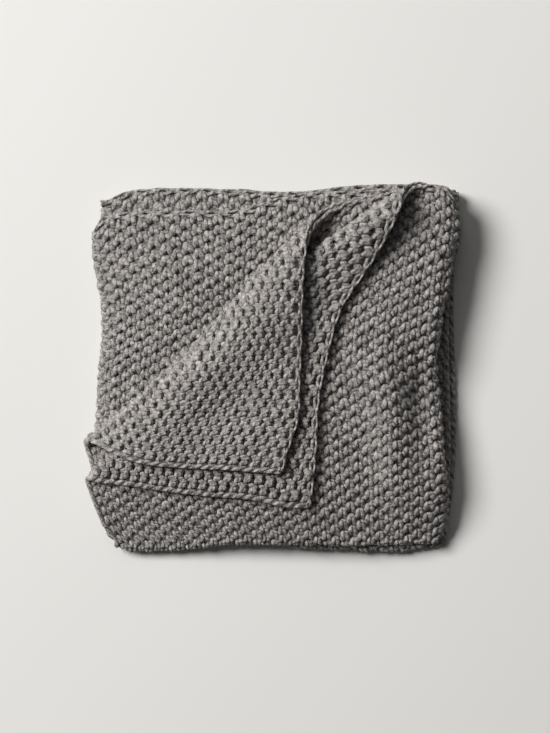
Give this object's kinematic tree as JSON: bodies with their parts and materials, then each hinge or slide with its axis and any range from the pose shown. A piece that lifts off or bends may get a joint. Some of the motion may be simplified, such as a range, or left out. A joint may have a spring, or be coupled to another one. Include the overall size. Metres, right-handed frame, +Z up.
{
  "type": "chunky knit blanket",
  "caption": "Chunky moss-stitch knit blanket, folded in half and then in thirds into a near-square stack, its doubled upper left corner turned back.",
  "frame": {"origin": "centre of the folded blanket's plan, on the surface that it lies on", "axes": "+Z up, out of the stack; +Y towards the free ends of the layers; +X towards the outer fold of the top layer"},
  "size_m": [0.5312, 0.5156, 0.126],
  "materials": {
    "knit": "matt chunky plied yarn, warm mid grey, knitted in moss stitch"
  },
  "bodies": {
    "root": {"blanket": "knit"}
  },
  "joints": []
}
